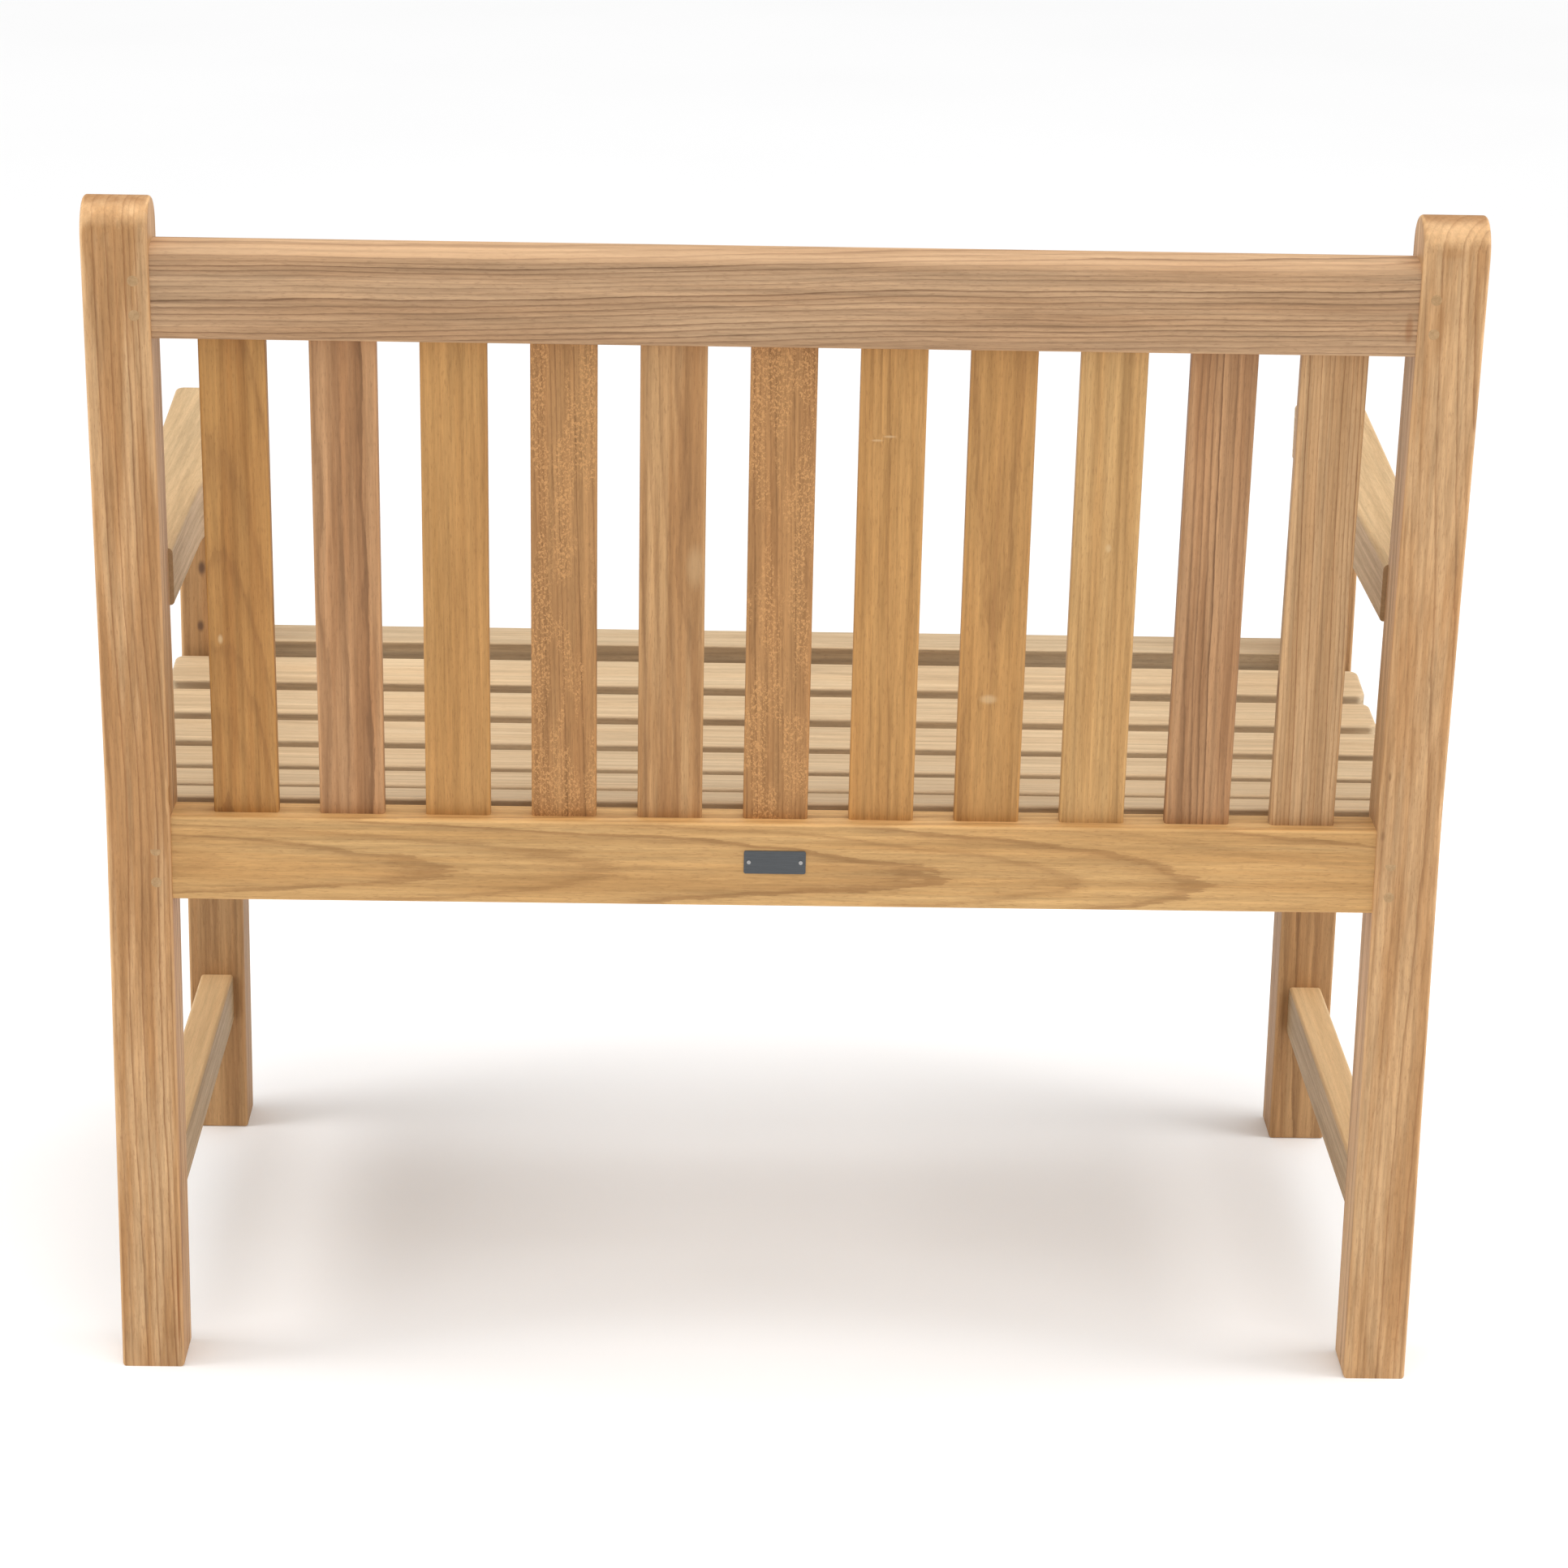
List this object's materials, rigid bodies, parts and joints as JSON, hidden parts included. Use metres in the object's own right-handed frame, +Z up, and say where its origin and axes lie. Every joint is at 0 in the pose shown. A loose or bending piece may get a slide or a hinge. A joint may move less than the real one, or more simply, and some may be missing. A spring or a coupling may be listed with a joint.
{
  "type": "garden bench",
  "caption": "Two-seat teak garden bench with a slatted leaning back, dished slatted seat, broad armrests and side stretchers.",
  "frame": {"origin": "on the floor under the middle of the overall length and depth", "axes": "+Z up, front of the seat towards -Y, +X to the sitter's left"},
  "size_m": [1.0124, 0.5916, 0.922],
  "materials": {
    "leg_teak": "sanded, unfinished teak",
    "rail_teak": "sanded, unfinished teak",
    "arm_teak": "sanded, unfinished teak",
    "back_slat_teak": "sanded, unfinished teak",
    "seat_slat_teak": "sanded, unfinished teak",
    "peg_teak": "end grain, sanded flush",
    "screw_steel": "stainless steel",
    "plate_metal": "dark, blue-grey metal, satin"
  },
  "bodies": {
    "root": {"armrest_left": "arm_teak", "armrest_pegs": "peg_teak", "armrest_right": "arm_teak", "back_leg_left": "leg_teak", "back_leg_right": "leg_teak", "back_slat_01": "back_slat_teak", "back_slat_02": "back_slat_teak", "back_slat_03": "back_slat_teak", "back_slat_04": "back_slat_teak", "back_slat_05": "back_slat_teak", "back_slat_06": "back_slat_teak", "back_slat_07": "back_slat_teak", "back_slat_08": "back_slat_teak", "back_slat_09": "back_slat_teak", "back_slat_10": "back_slat_teak", "back_slat_11": "back_slat_teak", "centre_seat_bearer": "rail_teak", "front_leg_left": "leg_teak", "front_leg_right": "leg_teak", "front_seat_rail": "rail_teak", "front_seat_rail_pegs": "peg_teak", "lower_back_rail": "rail_teak", "lower_back_rail_pegs": "peg_teak", "nameplate": "plate_metal", "nameplate_pins": "plate_metal", "seat_slat_01": "seat_slat_teak", "seat_slat_02": "seat_slat_teak", "seat_slat_03": "seat_slat_teak", "seat_slat_04": "seat_slat_teak", "seat_slat_05": "seat_slat_teak", "seat_slat_06": "seat_slat_teak", "seat_slat_07": "seat_slat_teak", "seat_slat_screws": "screw_steel", "side_seat_rail_left": "rail_teak", "side_seat_rail_pegs": "peg_teak", "side_seat_rail_right": "rail_teak", "side_stretcher_left": "rail_teak", "side_stretcher_pegs": "peg_teak", "side_stretcher_right": "rail_teak", "top_rail": "rail_teak", "top_rail_pegs": "peg_teak"}
  },
  "joints": []
}
